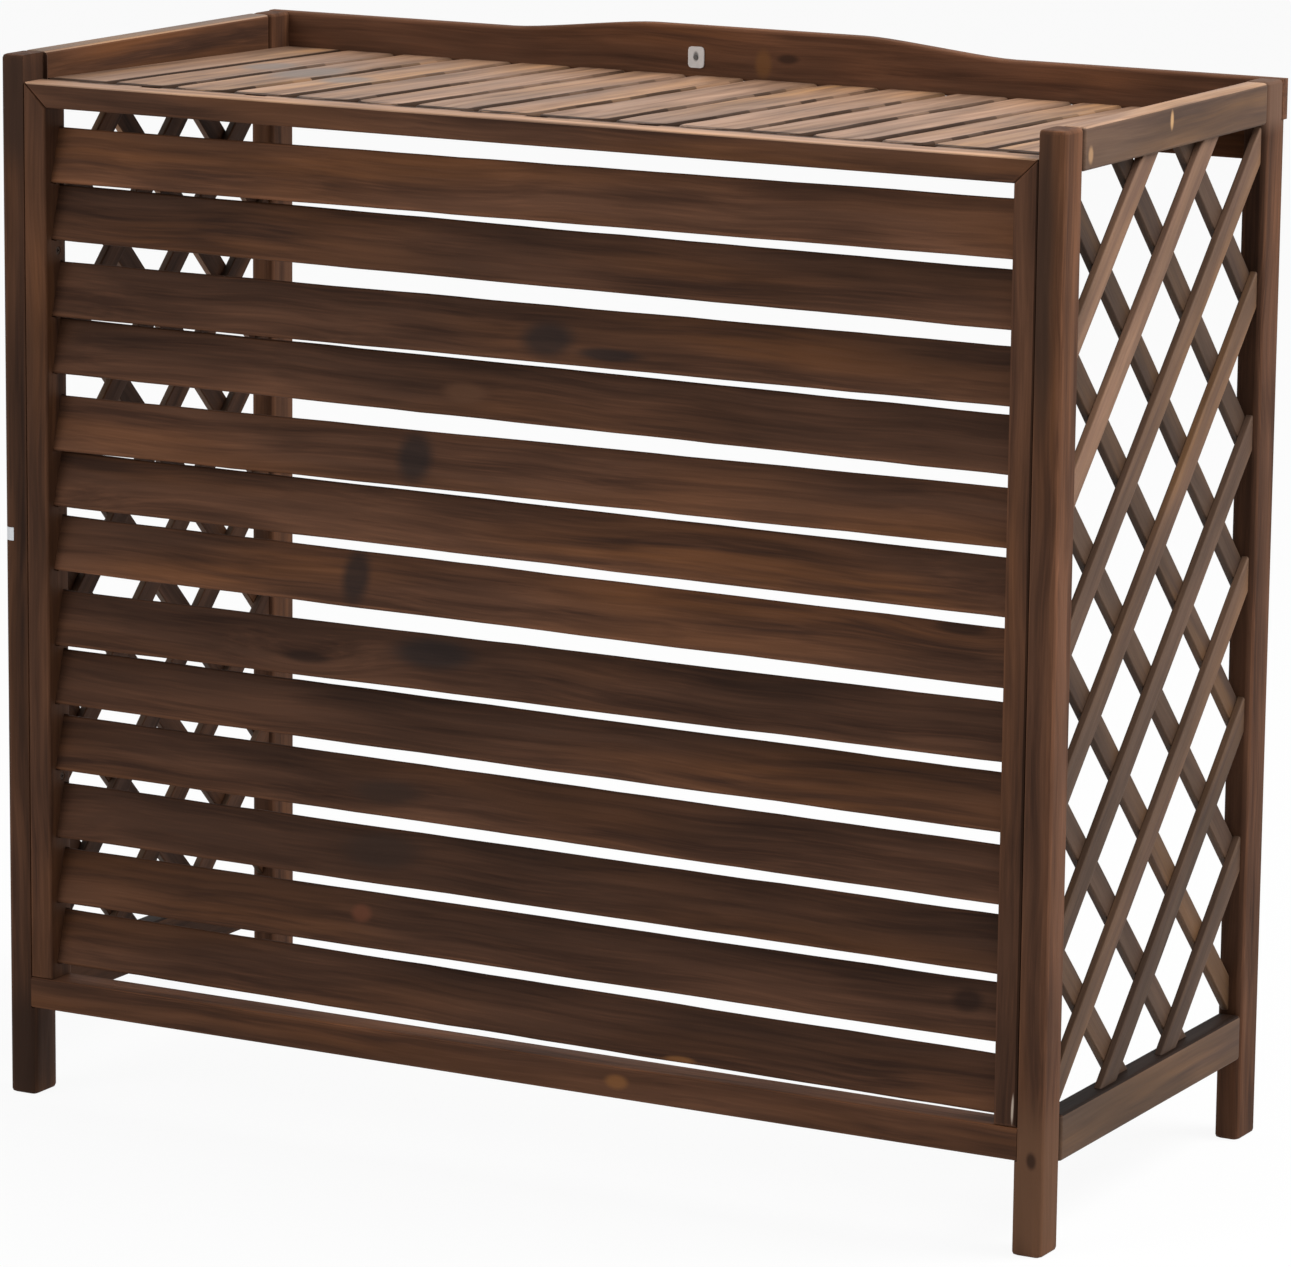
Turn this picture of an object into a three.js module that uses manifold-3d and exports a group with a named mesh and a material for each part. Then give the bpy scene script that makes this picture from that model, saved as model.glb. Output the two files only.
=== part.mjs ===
import * as THREE from 'three';
import { mergeVertices } from 'three/addons/utils/BufferGeometryUtils.js';
import Module from 'manifold-3d';

// A free-standing screen that hides an outdoor air conditioner unit, in brown stained softwood.
// Lengths are millimetres. z is up, the louvre panel faces -y, and the origin is on the floor
// under the middle of the screen.

const wasm = await Module();
wasm.setup();

// The whole screen. The side rails and the plain ends of the back board are level with the post tops
const overallWidth = 960;
const overallDepth = 430;
const postHeight = 880;

// Fits between pieces, and how far a cut runs on past the face that it opens
const jointGap = 0.3;
const cutOverrun = 5;
const weldDistance = 0.001;

// How round edges are divided
const arrisSegments = 1;
const easeSegments = 2;
const turnedSegments = 10;
const waveSegments = 10;

// Posts. The front pair is rebated on its inner front edge to take the louvre panel
const frontPostWidth = 26;
const frontPostDepth = 34.5;
const rebateWidth = 4;
const rearPostWidth = 22;
const rearPostDepth = 38;
const postArris = 5;
const postEase = 3;

// Louvre panel: two stiles mitred to the top rail and standing on the bottom rail
const panelDrop = 22;
const panelRise = 76;
const panelDepth = 30.7;
const stileWidth = 20.7;
const panelTopRailHeight = 20;
const panelBottomRailHeight = 26.5;
const panelEase = 2.4;
const mitreGap = 0.5;

// Slats, let into the stiles. Each end sits a little off its even place, as shares of the pitch,
// from the top slat down
const slatWidth = 46.7;
const slatThickness = 7;
const slatArris = 2.2;
const slatTilt = THREE.MathUtils.degToRad(16.5);
const slatSetback = 9;
const slatHousing = 7;
const slatTopGap = 14.1;
const slatBottomGap = 7.6;
const slatLeftShares = [
  -0.053, 0.1, -0.047, 0.109, -0.051, 0.108, 0.137, -0.004, 0.102, 0.091, 0.05, 0.044, 0.1,
];
const slatRightShares = [
  0.01, 0.03, -0.022, 0.028, 0.013, 0.038, 0.045, 0.005, 0.011, -0.021, -0.014, 0.01, -0.017,
];

// Side frames: top and bottom rails, tenoned into the posts
const sideRailThickness = 20;
const sideTopRailHeight = 34;
const sideBottomRailHeight = 38;
const sideBottomRailDrop = 6;
const sideRailArris = 3;
const tenonThickness = 8;
const tenonHeight = 20;
const tenonLength = 10;

// Side lattices: two layers of strips, pressed together where they cross
const stripWidth = 22;
const stripThickness = 7;
const stripSpacing = 82.7;
const stripAngle = THREE.MathUtils.degToRad(45);
const stripPress = 0.5;
const latticeSetback = 5;

// Deck: boards from front to back, falling to the rear. The shares are where one board ends and
// the next begins, along the width between the side rails
const deckThickness = 9;
const deckFall = 8;
const deckBoardGap = 3.3;
const deckArris = 2.2;
const deckEase = 1.5;
const deckFrontGap = 1.5;
const deckRearGap = 1;
const deckSplitShares = [
  0.063, 0.126, 0.189, 0.252, 0.315, 0.373, 0.437, 0.498, 0.572, 0.635, 0.702, 0.762, 0.826,
  0.875, 0.934,
];
const bearerHeight = 13;
const bearerDepth = 18;
const bearerArris = 2;

// Back: the gallery board, let into the rear posts, with a raised waved middle, and the apron
const boardThickness = 14;
const boardProud = 5;
const boardHeight = 33;
const boardEase = 3;
const waveRise = 11.5;
const wavePlateau = 196;
const waveRamp = 140;
const waveRoundShare = 0.22;
const apronHeight = 25;
const apronThickness = 18;

// Screws: two through each stile into its post, between the slats that lie at these shares of the
// way down, and two through each end of the back board
const screwRadius = 1.8;
const screwHeadRadius = 3.5;
const screwHeadDepth = 2.4;
const screwPoint = 4;
const screwSink = 0.5;
const recessWidth = 0.9;
const recessDepth = 1.2;
const panelScrewLength = 34;
const boardScrewLength = 30;
const panelScrewSlatShares = [0.1, 0.7];
const boardScrewShares = [0.28, 0.72];

// Tag on the back board's front face, with its pin
const tagWidth = 15;
const tagHeight = 18;
const tagThickness = 1.2;
const tagCorner = 3;
const tagOffset = 54.5;
const tagRise = 6;
const pinRadius = 0.8;
const pinLength = 9;
const pinHeadRadius = 2;
const pinHeadDepth = 0.8;

// Metal clip bent round the outer front edge of the left post and let in flush
const clipLeg = 9;
const clipHeight = 11;
const clipThickness = 0.8;
const clipRise = 475;

// Places worked out from the sizes above
const frontFace = -overallDepth / 2;
const rearFace = overallDepth / 2;
const sides = [
  { name: 'Left', sign: -1 },
  { name: 'Right', sign: 1 },
];
const panelTop = postHeight - panelDrop;
const panelHalfWidth = overallWidth / 2 - frontPostWidth + rebateWidth - jointGap;
const openingHalfWidth = panelHalfWidth - stileWidth;
const openingBottom = panelRise + panelBottomRailHeight;
const openingTop = panelTop - panelTopRailHeight;
const panelMiddle = frontFace + panelDepth / 2;
const frontPostRear = frontFace + frontPostDepth;
const rearPostRear = rearFace - boardProud;
const rearPostFront = rearPostRear - rearPostDepth;
const sideRailLength = rearPostFront - frontPostRear - 2 * jointGap;
const sideMiddle = (rearPostFront + frontPostRear) / 2;
const sideRailBottom = panelRise - sideBottomRailDrop;
const sideOpeningBottom = sideRailBottom + sideBottomRailHeight;
const sideOpeningTop = postHeight - sideTopRailHeight;
const latticeThickness = 2 * stripThickness - stripPress;
const boardFront = rearFace - boardThickness;
const boardBottom = postHeight - boardHeight;
const deckHalfWidth = overallWidth / 2 - sideRailThickness - jointGap;
const deckFront = frontFace + panelDepth + deckFrontGap;
const deckRun = boardFront - deckRearGap - deckFront;
const deckSlope = Math.atan(deckFall / deckRun);
const deckLength = deckRun / Math.cos(deckSlope);
const deckUnderRear = panelTop - deckFall - deckThickness / Math.cos(deckSlope);

// Materials

function timberFinish(color, roughness) {
  return new THREE.MeshStandardMaterial({ color, roughness, metalness: 0 });
}

const darkStain = timberFinish(0x4a3024, 0.6);
const sideStain = timberFinish(0x6a4a3a, 0.6);
const deckStain = timberFinish(0xa4836c, 0.65);
const hiddenStain = timberFinish(0x4f3527, 0.7);
const steel = new THREE.MeshStandardMaterial({ color: 0xb9bcc0, roughness: 0.35, metalness: 1 });
const tagPlastic = new THREE.MeshStandardMaterial({ color: 0xe6e7ea, roughness: 0.5, metalness: 0 });

// Solids

function solidOf(geometry) {
  const bare = geometry.clone();
  bare.deleteAttribute('normal');
  bare.deleteAttribute('uv');
  const merged = mergeVertices(bare, weldDistance);
  const mesh = new wasm.Mesh({
    numProp: 3,
    vertProperties: merged.attributes.position.array,
    triVerts: new Uint32Array(merged.index.array),
  });
  return new wasm.Manifold(mesh);
}

function geometryOf(solid) {
  const mesh = solid.getMesh();
  const geometry = new THREE.BufferGeometry();
  geometry.setAttribute('position', new THREE.BufferAttribute(mesh.vertProperties, 3));
  geometry.setIndex(new THREE.BufferAttribute(mesh.triVerts, 1));
  geometry.computeVertexNormals();
  return geometry;
}

function joined(geometries) {
  const solids = geometries.map(solidOf);
  return geometryOf(solids.reduce((whole, next) => whole.add(next)));
}

// The cutters are in the screen's frame, and the geometry is modelled about its own place in it.
function carved(geometry, place, cutters) {
  let body = solidOf(geometry);
  for (const cutter of cutters) {
    body = body.subtract(solidOf(cutter.clone().translate(-place.x, -place.y, -place.z)));
  }
  return geometryOf(body);
}

function block(width, depth, height, place) {
  return new THREE.BoxGeometry(width, depth, height).translate(place.x, place.y, place.z);
}

// A length of timber along z. The long arrises are rounded, and the ends are eased, or left square.
function timber(width, depth, length, arris, ease) {
  const x = width / 2 - arris;
  const y = depth / 2 - arris;
  const corners = [[x, y], [-x, y], [-x, -y], [x, -y]];
  const outline = new THREE.Shape();
  corners.forEach(([cornerX, cornerY], quarter) => {
    const start = (quarter * Math.PI) / 2;
    outline.absarc(cornerX, cornerY, arris, start, start + Math.PI / 2, false);
  });
  return thickened(outline, length, ease, arrisSegments);
}

function timberAlongX(height, depth, length, arris, ease) {
  return timber(height, depth, length, arris, ease).rotateY(Math.PI / 2);
}

function timberAlongY(width, height, length, arris, ease) {
  return timber(width, height, length, arris, ease).rotateX(-Math.PI / 2);
}

// An outline in x and y given a thickness along z, centred, with its outer edges eased.
function thickened(outline, thickness, ease, curveSegments) {
  const geometry = new THREE.ExtrudeGeometry(outline, {
    depth: thickness - 2 * ease,
    bevelEnabled: ease > 0,
    bevelThickness: ease,
    bevelSize: ease,
    bevelOffset: -ease,
    bevelSegments: easeSegments,
    curveSegments,
  });
  return geometry.translate(0, 0, ease - thickness / 2);
}

// The same, with the outline upright in x and z and the thickness along y.
function upright(outline, thickness, ease, curveSegments) {
  return thickened(outline, thickness, ease, curveSegments).rotateX(Math.PI / 2);
}

// A countersunk screw along y, its head's face at the origin and its point at -y. A larger one
// with a taller head is the hole that it goes in.
function screwShape(length, growth, headOverrun) {
  const head = new THREE.CylinderGeometry(
    screwHeadRadius + growth, screwRadius + growth, screwHeadDepth, turnedSegments,
  ).translate(0, -screwHeadDepth / 2, 0);
  const shankLength = length - screwPoint;
  const shank = new THREE.CylinderGeometry(
    screwRadius + growth, screwRadius + growth, shankLength, turnedSegments,
  ).translate(0, -shankLength / 2, 0);
  const point = new THREE.CylinderGeometry(
    screwRadius + growth, 0, screwPoint + growth, turnedSegments,
  ).translate(0, -shankLength - (screwPoint + growth) / 2, 0);
  const parts = [head, shank, point];
  if (headOverrun > 0) {
    parts.push(new THREE.CylinderGeometry(
      screwHeadRadius + growth, screwHeadRadius + growth, headOverrun, turnedSegments,
    ).translate(0, headOverrun / 2, 0));
  }
  return joined(parts);
}

function screwGeometry(length) {
  const recessLength = screwHeadRadius;
  const recess = [
    block(recessLength, 2 * recessDepth, recessWidth, new THREE.Vector3()),
    block(recessWidth, 2 * recessDepth, recessLength, new THREE.Vector3()),
  ];
  return carved(screwShape(length, 0, 0), new THREE.Vector3(), recess);
}

// Where the slats, screws and rails lie, so that what holds them can be cut to take them

function slatPlaces() {
  const rise = slatWidth * Math.cos(slatTilt);
  const count = slatLeftShares.length;
  const pitch = (openingTop - openingBottom - slatTopGap - slatBottomGap - rise) / (count - 1);
  const lean = (slatWidth / 2) * Math.sin(slatTilt) + (slatThickness / 2) * Math.cos(slatTilt);
  const middle = (slatWidth / 2) * Math.cos(slatTilt) - (slatThickness / 2) * Math.sin(slatTilt);
  return slatLeftShares.map((leftShare, index) => {
    const left = leftShare * pitch;
    const right = slatRightShares[index] * pitch;
    const even = openingTop - slatTopGap - rise - index * pitch + middle;
    return {
      position: new THREE.Vector3(0, frontFace + slatSetback + lean, even + (left + right) / 2),
      rotation: new THREE.Euler(-slatTilt, Math.atan((left - right) / (2 * openingHalfWidth)), 0, 'YXZ'),
      endHeights: [even + left, even + right],
    };
  });
}

function placedBy(geometry, { position, rotation }) {
  const turn = new THREE.Quaternion().setFromEuler(rotation);
  return geometry.clone().applyMatrix4(
    new THREE.Matrix4().compose(position, turn, new THREE.Vector3(1, 1, 1)),
  );
}

function slatHousingCutter(place) {
  const cutter = new THREE.BoxGeometry(
    2 * (openingHalfWidth + slatHousing), slatThickness + 2 * jointGap, slatWidth + 2 * jointGap,
  );
  return placedBy(cutter, place);
}

function panelScrewPlaces(slats) {
  return sides.flatMap(({ sign }, side) => panelScrewSlatShares.map((share) => {
    const above = Math.floor(share * slats.length);
    const height = (slats[above].endHeights[side] + slats[above + 1].endHeights[side]) / 2;
    return {
      position: new THREE.Vector3(
        sign * (openingHalfWidth + screwSink), slats[above].position.y, height,
      ),
      rotation: new THREE.Euler(0, 0, (sign * Math.PI) / 2),
    };
  }));
}

function boardScrewPlaces() {
  return sides.flatMap(({ sign }) => boardScrewShares.map((share) => ({
    position: new THREE.Vector3(
      sign * (overallWidth - rearPostWidth) / 2, rearFace - screwSink, boardBottom + share * boardHeight,
    ),
    rotation: new THREE.Euler(),
  })));
}

function sideRailPlace(sign, bottom, height) {
  return new THREE.Vector3(
    sign * (overallWidth - sideRailThickness) / 2, sideMiddle, bottom + height / 2,
  );
}

function mortiseCutter(place) {
  return block(
    tenonThickness + 2 * jointGap,
    sideRailLength + 2 * tenonLength + 2 * jointGap,
    tenonHeight + 2 * jointGap,
    place,
  );
}

function boardHousingCutter() {
  const height = boardHeight + waveRise + cutOverrun;
  return block(
    overallWidth + 2 * cutOverrun,
    boardThickness + jointGap + cutOverrun,
    height + jointGap,
    new THREE.Vector3(
      0, rearFace + (cutOverrun - boardThickness - jointGap) / 2, boardBottom + (height - jointGap) / 2,
    ),
  );
}

// The clip's section round the post's edge, as seen from above. Grown, it is the hollow for the clip.
function clipSection(growth, overrun) {
  const inside = clipThickness + growth;
  const leg = clipLeg + growth;
  const section = new THREE.Shape();
  section.moveTo(leg, inside);
  section.lineTo(postArris, inside);
  section.absarc(postArris, postArris, postArris - inside, -Math.PI / 2, -Math.PI, true);
  section.lineTo(inside, leg);
  section.lineTo(-overrun, leg);
  if (overrun > 0) {
    section.lineTo(-overrun, -overrun);
  } else {
    section.absarc(postArris, postArris, postArris, -Math.PI, -Math.PI / 2, false);
  }
  section.lineTo(leg, -overrun);
  return section;
}

// Sub-parts. Each of these functions adds its meshes to the screen

const screen = new THREE.Group();

function add(parent, name, geometry, material, position) {
  const mesh = new THREE.Mesh(geometry, material);
  mesh.name = name;
  mesh.position.copy(position);
  parent.add(mesh);
  return mesh;
}

function addPosts(mortises, screwHoles) {
  const clipPlace = new THREE.Vector3(-overallWidth / 2, frontFace, clipRise + clipHeight / 2);
  const clipHollow = thickened(
    clipSection(jointGap, cutOverrun), clipHeight + 2 * jointGap, 0, arrisSegments,
  ).translate(clipPlace.x, clipPlace.y, clipPlace.z);
  const rebateHeight = postHeight - panelRise + jointGap + cutOverrun;
  for (const { name, sign } of sides) {
    const side = name.toLowerCase();
    const frontPlace = new THREE.Vector3(
      sign * (overallWidth - frontPostWidth) / 2, frontFace + frontPostDepth / 2, postHeight / 2,
    );
    const rebate = block(
      rebateWidth + cutOverrun,
      panelDepth + jointGap + cutOverrun,
      rebateHeight,
      new THREE.Vector3(
        sign * (overallWidth / 2 - frontPostWidth + (rebateWidth - cutOverrun) / 2),
        frontFace + (panelDepth + jointGap - cutOverrun) / 2,
        panelRise - jointGap + rebateHeight / 2,
      ),
    );
    const post = timber(frontPostWidth, frontPostDepth, postHeight, postArris, postEase);
    const cutters = [rebate, clipHollow, ...mortises, ...screwHoles];
    add(screen, `Front_${side}_post`, carved(post, frontPlace, cutters), darkStain, frontPlace);

    const rearPlace = new THREE.Vector3(
      sign * (overallWidth - rearPostWidth) / 2, rearPostRear - rearPostDepth / 2, postHeight / 2,
    );
    const rearPost = timber(rearPostWidth, rearPostDepth, postHeight, postArris, postEase);
    const rearCutters = [boardHousingCutter(), ...mortises, ...screwHoles];
    add(screen, `Rear_${side}_post`, carved(rearPost, rearPlace, rearCutters), darkStain, rearPlace);
  }
  const clip = thickened(clipSection(0, 0), clipHeight, 0, arrisSegments);
  add(screen, 'Corner_clip', clip, steel, clipPlace);
}

function addLouvrePanel(slats, screwHoles) {
  const stileHeight = panelTop - openingBottom - jointGap;
  const stileMiddle = panelTop - stileHeight / 2;
  const housings = slats.map(slatHousingCutter);
  for (const { name, sign } of sides) {
    const outer = (sign * stileWidth) / 2;
    const outline = new THREE.Shape([
      new THREE.Vector2(outer, -stileHeight / 2),
      new THREE.Vector2(outer, stileHeight / 2),
      new THREE.Vector2(-outer, stileHeight / 2 - panelTopRailHeight),
      new THREE.Vector2(-outer, -stileHeight / 2),
    ]);
    const place = new THREE.Vector3(sign * (panelHalfWidth - stileWidth / 2), panelMiddle, stileMiddle);
    const stile = carved(upright(outline, panelDepth, panelEase, 1), place, [...housings, ...screwHoles]);
    add(screen, `Louvre_${name.toLowerCase()}_stile`, stile, darkStain, place);
  }
  const railOutline = new THREE.Shape([
    new THREE.Vector2(-panelHalfWidth + mitreGap, panelTopRailHeight / 2),
    new THREE.Vector2(-openingHalfWidth + mitreGap, -panelTopRailHeight / 2),
    new THREE.Vector2(openingHalfWidth - mitreGap, -panelTopRailHeight / 2),
    new THREE.Vector2(panelHalfWidth - mitreGap, panelTopRailHeight / 2),
  ]);
  add(
    screen, 'Louvre_top_rail', upright(railOutline, panelDepth, panelEase, 1), darkStain,
    new THREE.Vector3(0, panelMiddle, panelTop - panelTopRailHeight / 2),
  );
  add(
    screen, 'Louvre_bottom_rail',
    timberAlongX(panelBottomRailHeight, panelDepth, 2 * panelHalfWidth, panelEase, 0), darkStain,
    new THREE.Vector3(0, panelMiddle, panelRise + panelBottomRailHeight / 2),
  );
  const slatLength = 2 * (openingHalfWidth + slatHousing - jointGap);
  slats.forEach((place, index) => {
    const slat = timberAlongX(slatWidth, slatThickness, slatLength, slatArris, 0);
    const number = String(index + 1).padStart(2, '0');
    const mesh = add(screen, `Louvre_slat_${number}`, slat, darkStain, place.position);
    mesh.rotation.copy(place.rotation);
  });
}

function addSideRails(rails) {
  for (const { name, place, height } of rails) {
    const rail = timberAlongY(sideRailThickness, height, sideRailLength, sideRailArris, 0);
    const tenons = block(
      tenonThickness, sideRailLength + 2 * tenonLength, tenonHeight, new THREE.Vector3(),
    );
    add(screen, name, joined([rail, tenons]), sideStain, place);
  }
}

// One lattice, centred, its outer layer towards +x and rising towards +y. A strip that would only
// cross the very corner of the opening, too short to reach another one, is left out.
function latticeGeometry() {
  const height = sideOpeningTop - sideOpeningBottom - 2 * jointGap;
  const reach = (height + sideRailLength) / 2;
  const corner = (height * Math.cos(stripAngle) + sideRailLength * Math.sin(stripAngle)) / 2;
  const perLayer = Math.floor((corner - stripWidth) / stripSpacing + 1 / 2);
  const offset = (stripThickness - stripPress) / 2;
  const strips = [];
  for (const layer of [1, -1]) {
    for (let index = -perLayer; index < perLayer; index += 1) {
      const across = (index + 1 / 2) * stripSpacing;
      strips.push(
        block(stripThickness, 2 * reach, stripWidth, new THREE.Vector3(layer * offset, 0, across))
          .rotateX(layer * stripAngle),
      );
    }
  }
  const window = new THREE.BoxGeometry(2 * latticeThickness, sideRailLength, height);
  return geometryOf(solidOf(joined(strips)).intersect(solidOf(window)));
}

function addLattices() {
  const lattice = latticeGeometry();
  for (const { name, sign } of sides) {
    const place = new THREE.Vector3(
      sign * (overallWidth / 2 - latticeSetback - latticeThickness / 2),
      sideMiddle,
      (sideOpeningBottom + sideOpeningTop) / 2,
    );
    const mesh = add(screen, `${name}_lattice`, lattice.clone(), sideStain, place);
    mesh.rotation.z = sign > 0 ? 0 : Math.PI;
  }
}

// The outer deck boards are cut round the posts. The cutters are the posts' boxes in the deck's frame.
function postCutters(deck) {
  deck.updateMatrixWorld(true);
  const toDeck = deck.matrixWorld.clone().invert();
  return sides.flatMap(({ sign }) => {
    const front = block(
      frontPostWidth + 2 * jointGap, frontPostDepth + 2 * jointGap, postHeight,
      new THREE.Vector3(
        sign * (overallWidth - frontPostWidth) / 2, frontFace + frontPostDepth / 2, postHeight / 2,
      ),
    );
    const rear = block(
      rearPostWidth + 2 * jointGap, rearPostDepth + 2 * jointGap, postHeight,
      new THREE.Vector3(
        sign * (overallWidth - rearPostWidth) / 2, rearPostRear - rearPostDepth / 2, postHeight / 2,
      ),
    );
    return [front.applyMatrix4(toDeck), rear.applyMatrix4(toDeck)];
  });
}

function addDeck() {
  const deck = new THREE.Group();
  deck.position.set(0, deckFront, panelTop);
  deck.rotation.x = -deckSlope;
  screen.add(deck);
  const cutters = postCutters(deck);
  const ends = [0, ...deckSplitShares, 1].map((share) => (2 * share - 1) * deckHalfWidth);
  for (let index = 0; index < ends.length - 1; index += 1) {
    const first = index === 0;
    const last = index === ends.length - 2;
    const left = ends[index] + (first ? 0 : deckBoardGap / 2);
    const right = ends[index + 1] - (last ? 0 : deckBoardGap / 2);
    const place = new THREE.Vector3((left + right) / 2, deckLength / 2, -deckThickness / 2);
    const board = timberAlongY(right - left, deckThickness, deckLength, deckArris, deckEase);
    const shaped = first || last ? carved(board, place, cutters) : board;
    add(deck, `Deck_board_${String(index + 1).padStart(2, '0')}`, shaped, deckStain, place);
  }
  const bearerLevel = -deckThickness - jointGap - bearerHeight / 2;
  const frontBearer = timberAlongX(
    bearerHeight, bearerDepth, overallWidth - 2 * (frontPostWidth + jointGap), bearerArris, 0,
  );
  add(
    deck, 'Deck_front_bearer', frontBearer, hiddenStain,
    new THREE.Vector3(0, bearerDepth / 2, bearerLevel),
  );
}

function boardOutline() {
  const end = overallWidth / 2;
  const shoulder = wavePlateau / 2;
  const foot = shoulder + waveRamp;
  const round = waveRoundShare * waveRamp;
  const crest = boardHeight + waveRise;
  const outline = new THREE.Shape();
  outline.moveTo(-end, 0);
  outline.lineTo(end, 0);
  outline.lineTo(end, boardHeight);
  outline.lineTo(foot, boardHeight);
  outline.bezierCurveTo(foot - round, boardHeight, shoulder + round, crest, shoulder, crest);
  outline.lineTo(-shoulder, crest);
  outline.bezierCurveTo(-shoulder - round, crest, round - foot, boardHeight, -foot, boardHeight);
  outline.lineTo(-end, boardHeight);
  return outline;
}

function addBack(screwHoles, pinHole) {
  const place = new THREE.Vector3(0, boardFront + boardThickness / 2, boardBottom);
  const board = upright(boardOutline(), boardThickness, boardEase, waveSegments);
  add(screen, 'Gallery_back_board', carved(board, place, [...screwHoles, pinHole]), darkStain, place);
  const apronTop = deckUnderRear - jointGap;
  add(
    screen, 'Rear_apron',
    timberAlongX(
      apronHeight, apronThickness, overallWidth - 2 * (rearPostWidth + jointGap), bearerArris, 0,
    ),
    hiddenStain,
    new THREE.Vector3(0, boardFront - apronThickness / 2, apronTop - apronHeight / 2),
  );
}

function roundPin(radius, headRadius, length, headDepth) {
  const shank = new THREE.CylinderGeometry(radius, radius, length, turnedSegments)
    .translate(0, length / 2, 0);
  const head = new THREE.CylinderGeometry(headRadius, headRadius, headDepth, turnedSegments)
    .translate(0, -headDepth / 2, 0);
  return joined([shank, head]);
}

function tagPinPlace() {
  return new THREE.Vector3(
    -tagOffset,
    boardFront - tagThickness - 2 * jointGap,
    panelTop - deckFall + tagRise + tagHeight / 2,
  );
}

function pinHoleCutter() {
  const place = tagPinPlace();
  const reach = pinLength + jointGap + cutOverrun;
  return new THREE.CylinderGeometry(pinRadius + jointGap, pinRadius + jointGap, reach, turnedSegments)
    .translate(place.x, place.y - cutOverrun + reach / 2, place.z);
}

function addTag(pinHole) {
  const x = tagWidth / 2 - tagCorner;
  const y = tagHeight / 2 - tagCorner;
  const outline = new THREE.Shape();
  outline.absarc(x, y, tagCorner, 0, Math.PI / 2, false);
  outline.absarc(-x, y, tagCorner, Math.PI / 2, Math.PI, false);
  outline.absarc(-x, -y, tagCorner, Math.PI, (3 * Math.PI) / 2, false);
  outline.absarc(x, -y, tagCorner, (3 * Math.PI) / 2, 2 * Math.PI, false);
  const pinPlace = tagPinPlace();
  const place = new THREE.Vector3(pinPlace.x, boardFront - jointGap - tagThickness / 2, pinPlace.z);
  const tag = carved(upright(outline, tagThickness, 0, arrisSegments), place, [pinHole]);
  add(screen, 'White_tag', tag, tagPlastic, place);
  add(screen, 'Tag_pin', roundPin(pinRadius, pinHeadRadius, pinLength, pinHeadDepth), steel, pinPlace);
}

function addScrews(name, places, length) {
  places.forEach((place, index) => {
    const mesh = add(screen, `${name}_${index + 1}`, screwGeometry(length), steel, place.position);
    mesh.rotation.copy(place.rotation);
  });
}

// The screen put together

const slats = slatPlaces();
const panelScrews = panelScrewPlaces(slats);
const boardScrews = boardScrewPlaces();
const panelScrewHole = screwShape(panelScrewLength, jointGap, cutOverrun);
const boardScrewHole = screwShape(boardScrewLength, jointGap, cutOverrun);
const screwHoles = [
  ...panelScrews.map((place) => placedBy(panelScrewHole, place)),
  ...boardScrews.map((place) => placedBy(boardScrewHole, place)),
];
const sideRails = sides.flatMap(({ name, sign }) => [
  {
    name: `${name}_top_rail`,
    height: sideTopRailHeight,
    place: sideRailPlace(sign, sideOpeningTop, sideTopRailHeight),
  },
  {
    name: `${name}_bottom_rail`,
    height: sideBottomRailHeight,
    place: sideRailPlace(sign, sideRailBottom, sideBottomRailHeight),
  },
]);
const mortises = sideRails.map(({ place }) => mortiseCutter(place));
const pinHole = pinHoleCutter();

addPosts(mortises, screwHoles);
addLouvrePanel(slats, screwHoles);
addSideRails(sideRails);
addLattices();
addDeck();
addBack(screwHoles, pinHole);
addTag(pinHole);
addScrews('Panel_screw', panelScrews, panelScrewLength);
addScrews('Back_board_screw', boardScrews, boardScrewLength);

export default screen;
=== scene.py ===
import math
import random

import bmesh
import bpy
from mathutils import Matrix, Vector, noise


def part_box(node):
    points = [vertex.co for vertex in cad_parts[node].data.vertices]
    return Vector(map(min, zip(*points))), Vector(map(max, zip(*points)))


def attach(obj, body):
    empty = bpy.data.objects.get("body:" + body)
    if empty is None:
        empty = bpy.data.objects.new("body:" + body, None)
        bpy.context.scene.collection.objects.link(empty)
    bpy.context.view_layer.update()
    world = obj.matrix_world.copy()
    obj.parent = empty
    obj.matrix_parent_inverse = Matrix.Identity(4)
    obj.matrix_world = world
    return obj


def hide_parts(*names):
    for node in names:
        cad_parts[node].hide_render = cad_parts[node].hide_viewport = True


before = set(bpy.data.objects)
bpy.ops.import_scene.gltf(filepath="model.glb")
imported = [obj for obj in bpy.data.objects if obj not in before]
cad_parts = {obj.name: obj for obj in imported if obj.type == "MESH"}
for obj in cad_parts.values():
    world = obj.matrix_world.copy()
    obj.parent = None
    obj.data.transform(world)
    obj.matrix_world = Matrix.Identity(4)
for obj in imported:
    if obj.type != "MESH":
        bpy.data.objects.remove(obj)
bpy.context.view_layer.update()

# Front posts. Square lengths of softwood with rounded arrises, rebated on the inner front edge for
# the louvre panel, and brushed with a thin dark brown stain that gathers in the grain.

FRONT_DARK = "#3b261b"
FRONT_STAIN = "#533727"
FRONT_WARM = "#633e24"
FRONT_WORN = "#724c36"


def colour(code):
    """The linear colour of an sRGB hex code."""
    parts = [int(code[at:at + 2], 16) / 255 for at in (1, 3, 5)]
    return [p / 12.92 if p <= 0.04045 else ((p + 0.055) / 1.055) ** 2.4 for p in parts] + [1.0]


def put(tree, kind, inputs, **settings):
    """Adds one shader node, with its settings and with what its sockets hold or are linked to."""
    made = tree.nodes.new(kind)
    for name, value in settings.items():
        setattr(made, name, value)
    for name, value in inputs.items():
        if isinstance(value, bpy.types.NodeSocket):
            tree.links.new(value, made.inputs[name])
        else:
            made.inputs[name].default_value = value
    return made


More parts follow.
